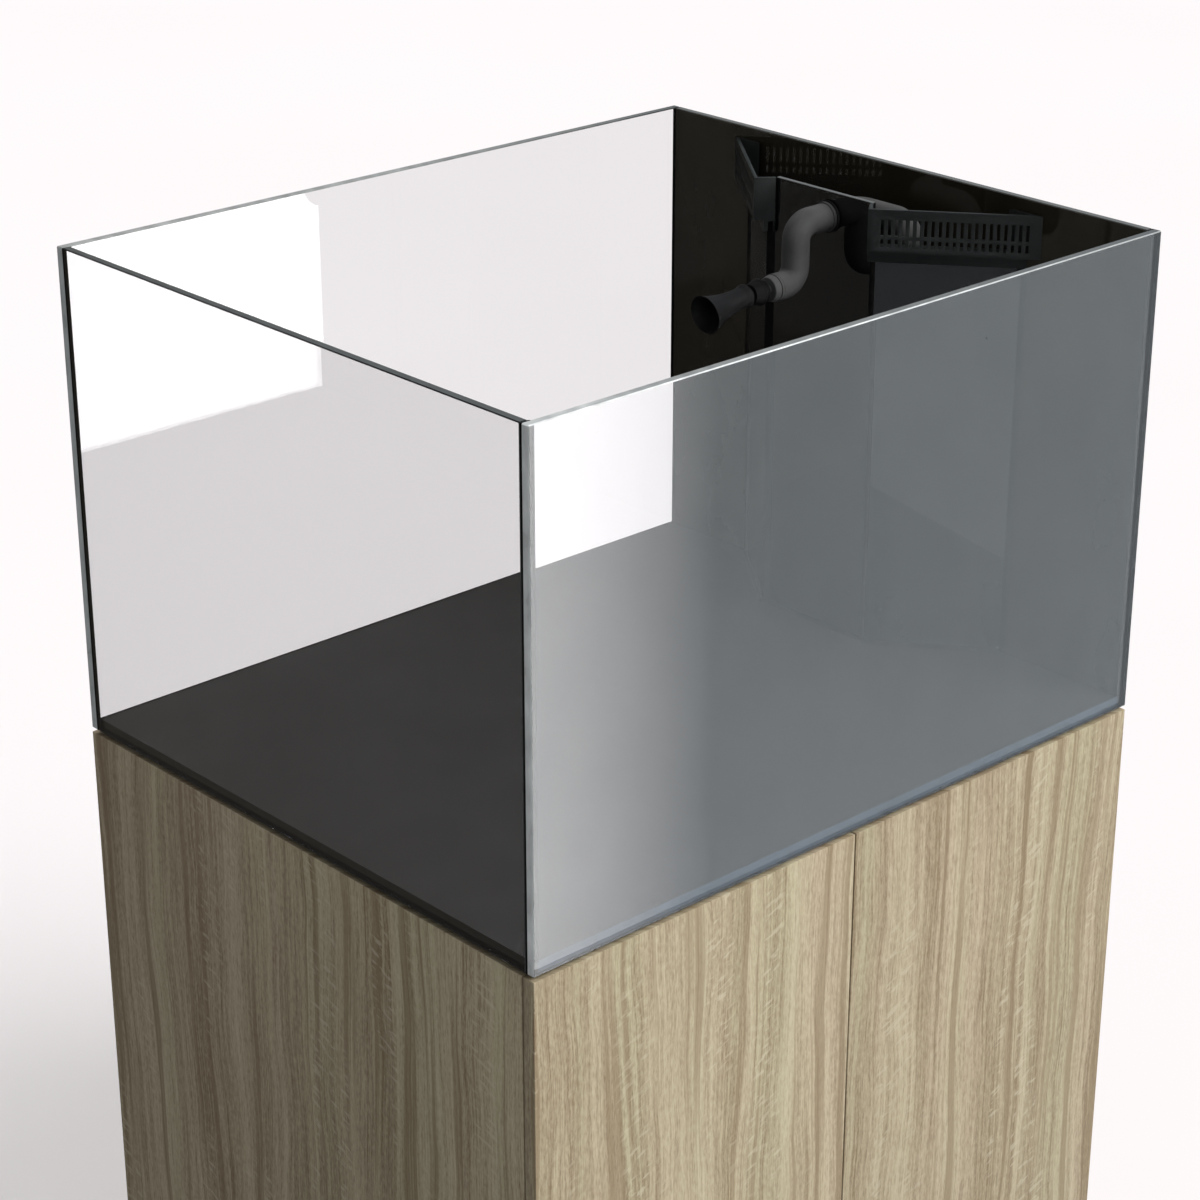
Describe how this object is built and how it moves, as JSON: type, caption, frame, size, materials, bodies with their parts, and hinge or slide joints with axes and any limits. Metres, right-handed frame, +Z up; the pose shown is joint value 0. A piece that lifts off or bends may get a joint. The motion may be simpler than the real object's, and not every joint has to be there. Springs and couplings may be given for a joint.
{
  "type": "aquarium on stand",
  "caption": "Rimless glass tank with a black corner-cut overflow weir, slotted lift-off combs and a trumpet return, on a two-door oak cabinet holding a sump.",
  "frame": {"origin": "on the floor under the middle of the object", "axes": "+Z up, the doors face -Y, the overflow weir stands at the +X end"},
  "size_m": [0.9, 0.75, 1.455],
  "materials": {
    "clear_glass": "clear float glass with polished arrises",
    "black_glass": "gloss black",
    "sump_glass": "clear",
    "silicone": "satin",
    "foam": "matt closed-cell foam",
    "black_plastic": "satin moulded",
    "grey_pvc": "satin",
    "red_plastic": "satin",
    "oak": "pale oak, vertical grain, matt",
    "nickel": "nickel plated"
  },
  "bodies": {
    "aquarium": {"tank_front_pane": "clear_glass", "tank_rear_pane": "clear_glass", "tank_left_end_pane": "clear_glass", "tank_black_end_pane": "black_glass", "tank_floor_pane": "black_glass", "weir_centre_panel": "black_glass", "weir_front_wing": "black_glass", "weir_rear_wing": "black_glass", "corner_seal_front_left": "silicone", "corner_seal_rear_left": "silicone", "corner_seal_front_right": "silicone", "corner_seal_rear_right": "silicone", "levelling_mat": "foam", "outlet_bulkhead": "black_plastic", "outlet_bulkhead_nut": "black_plastic", "return_bulkhead": "black_plastic", "return_bulkhead_nut": "black_plastic", "drain_bulkhead": "black_plastic", "drain_bulkhead_nut": "black_plastic", "latch_housing_left": "black_plastic", "latch_housing_right": "black_plastic", "return_pump": "black_plastic", "return_riser": "grey_pvc", "drain_standpipe": "grey_pvc", "drain_valve": "grey_pvc", "drain_downpipe": "grey_pvc", "return_feed_pipe": "grey_pvc", "cabinet_left_side": "oak", "cabinet_right_side": "oak", "cabinet_back": "oak", "cabinet_top": "oak", "cabinet_floor": "oak", "hinge_arm_lower_left": "nickel", "hinge_arm_upper_left": "nickel", "hinge_arm_lower_right": "nickel", "hinge_arm_upper_right": "nickel", "sump_tank": "sump_glass", "sump_inlet_baffle": "sump_glass", "sump_return_baffle": "sump_glass"},
    "door_left": {"door_left": "oak", "hinge_cup_lower_left": "nickel", "hinge_cup_upper_left": "nickel"},
    "door_right": {"door_right": "oak", "hinge_cup_lower_right": "nickel", "hinge_cup_upper_right": "nickel"},
    "weir_front_comb": {"weir_front_comb": "black_plastic"},
    "weir_rear_comb": {"weir_rear_comb": "black_plastic"},
    "outlet_pipe": {"outlet_pipe": "grey_pvc", "outlet_ring": "grey_pvc"},
    "nozzle_socket": {"nozzle_socket": "black_plastic"},
    "return_nozzle": {"return_nozzle": "black_plastic"},
    "drain_valve_handle": {"drain_valve_handle": "red_plastic"},
    "drain_strainer": {"drain_strainer": "black_plastic"},
    "latch_plunger_left": {"latch_plunger_left": "black_plastic"},
    "latch_plunger_right": {"latch_plunger_right": "black_plastic"},
    "levelling_foot_front_left": {"levelling_foot_front_left": "black_plastic"},
    "levelling_foot_rear_left": {"levelling_foot_rear_left": "black_plastic"},
    "levelling_foot_front_right": {"levelling_foot_front_right": "black_plastic"},
    "levelling_foot_rear_right": {"levelling_foot_rear_right": "black_plastic"},
    "pump_impeller": {"pump_impeller": "grey_pvc"}
  },
  "joints": [
    {"name": "door_left_hinge", "type": "hinge", "parent": "aquarium", "child": "door_left", "pos_m": [-0.446, -0.363, 0.4575], "axis": [0, 0, -1], "range_deg": [0, 105]},
    {"name": "door_right_hinge", "type": "hinge", "parent": "aquarium", "child": "door_right", "pos_m": [0.446, -0.363, 0.4575], "axis": [0, 0, 1], "range_deg": [0, 105]},
    {"name": "front_comb_lift", "type": "slide", "parent": "aquarium", "child": "weir_front_comb", "axis": [0, 0, 1], "range_m": [0, 0.09]},
    {"name": "rear_comb_lift", "type": "slide", "parent": "aquarium", "child": "weir_rear_comb", "axis": [0, 0, 1], "range_m": [0, 0.09]},
    {"name": "outlet_swivel", "type": "hinge", "parent": "aquarium", "child": "outlet_pipe", "pos_m": [0.33, 0.01, 1.411], "axis": [1, 0, 0], "range_deg": [-90, 90]},
    {"name": "nozzle_pan", "type": "hinge", "parent": "outlet_pipe", "child": "nozzle_socket", "pos_m": [0.232, 0.01, 1.344], "axis": [0, 0, 1], "range_deg": [-15, 15]},
    {"name": "nozzle_tilt", "type": "hinge", "parent": "nozzle_socket", "child": "return_nozzle", "pos_m": [0.209, 0.01, 1.344], "axis": [0, 1, 0], "range_deg": [-6, 20]},
    {"name": "drain_valve_turn", "type": "hinge", "parent": "aquarium", "child": "drain_valve_handle", "pos_m": [0.388, 0.03, 0.805], "axis": [0, -1, 0], "range_deg": [0, 90]},
    {"name": "strainer_lift", "type": "slide", "parent": "aquarium", "child": "drain_strainer", "axis": [0, 0, 1], "range_m": [0, 0.06]},
    {"name": "latch_left_press", "type": "slide", "parent": "aquarium", "child": "latch_plunger_left", "axis": [0, 1, 0], "range_m": [0, 0.0015], "stiffness_N_per_m": 300},
    {"name": "latch_right_press", "type": "slide", "parent": "aquarium", "child": "latch_plunger_right", "axis": [0, 1, 0], "range_m": [0, 0.0015], "stiffness_N_per_m": 300},
    {"name": "pump_impeller_spin", "type": "hinge", "parent": "aquarium", "child": "pump_impeller", "pos_m": [-0.03, -0.072, 0.1073], "axis": [1, 0, 0], "continuous": true},
    {"name": "levelling_foot_front_left_turn", "type": "hinge", "parent": "aquarium", "child": "levelling_foot_front_left", "pos_m": [-0.4, -0.315, 0.01], "axis": [0, 0, 1], "continuous": true},
    {"name": "levelling_foot_front_right_turn", "type": "hinge", "parent": "aquarium", "child": "levelling_foot_front_right", "pos_m": [0.4, -0.315, 0.01], "axis": [0, 0, 1], "continuous": true},
    {"name": "levelling_foot_rear_left_turn", "type": "hinge", "parent": "aquarium", "child": "levelling_foot_rear_left", "pos_m": [-0.4, 0.335, 0.01], "axis": [0, 0, 1], "continuous": true},
    {"name": "levelling_foot_rear_right_turn", "type": "hinge", "parent": "aquarium", "child": "levelling_foot_rear_right", "pos_m": [0.4, 0.335, 0.01], "axis": [0, 0, 1], "continuous": true}
  ]
}
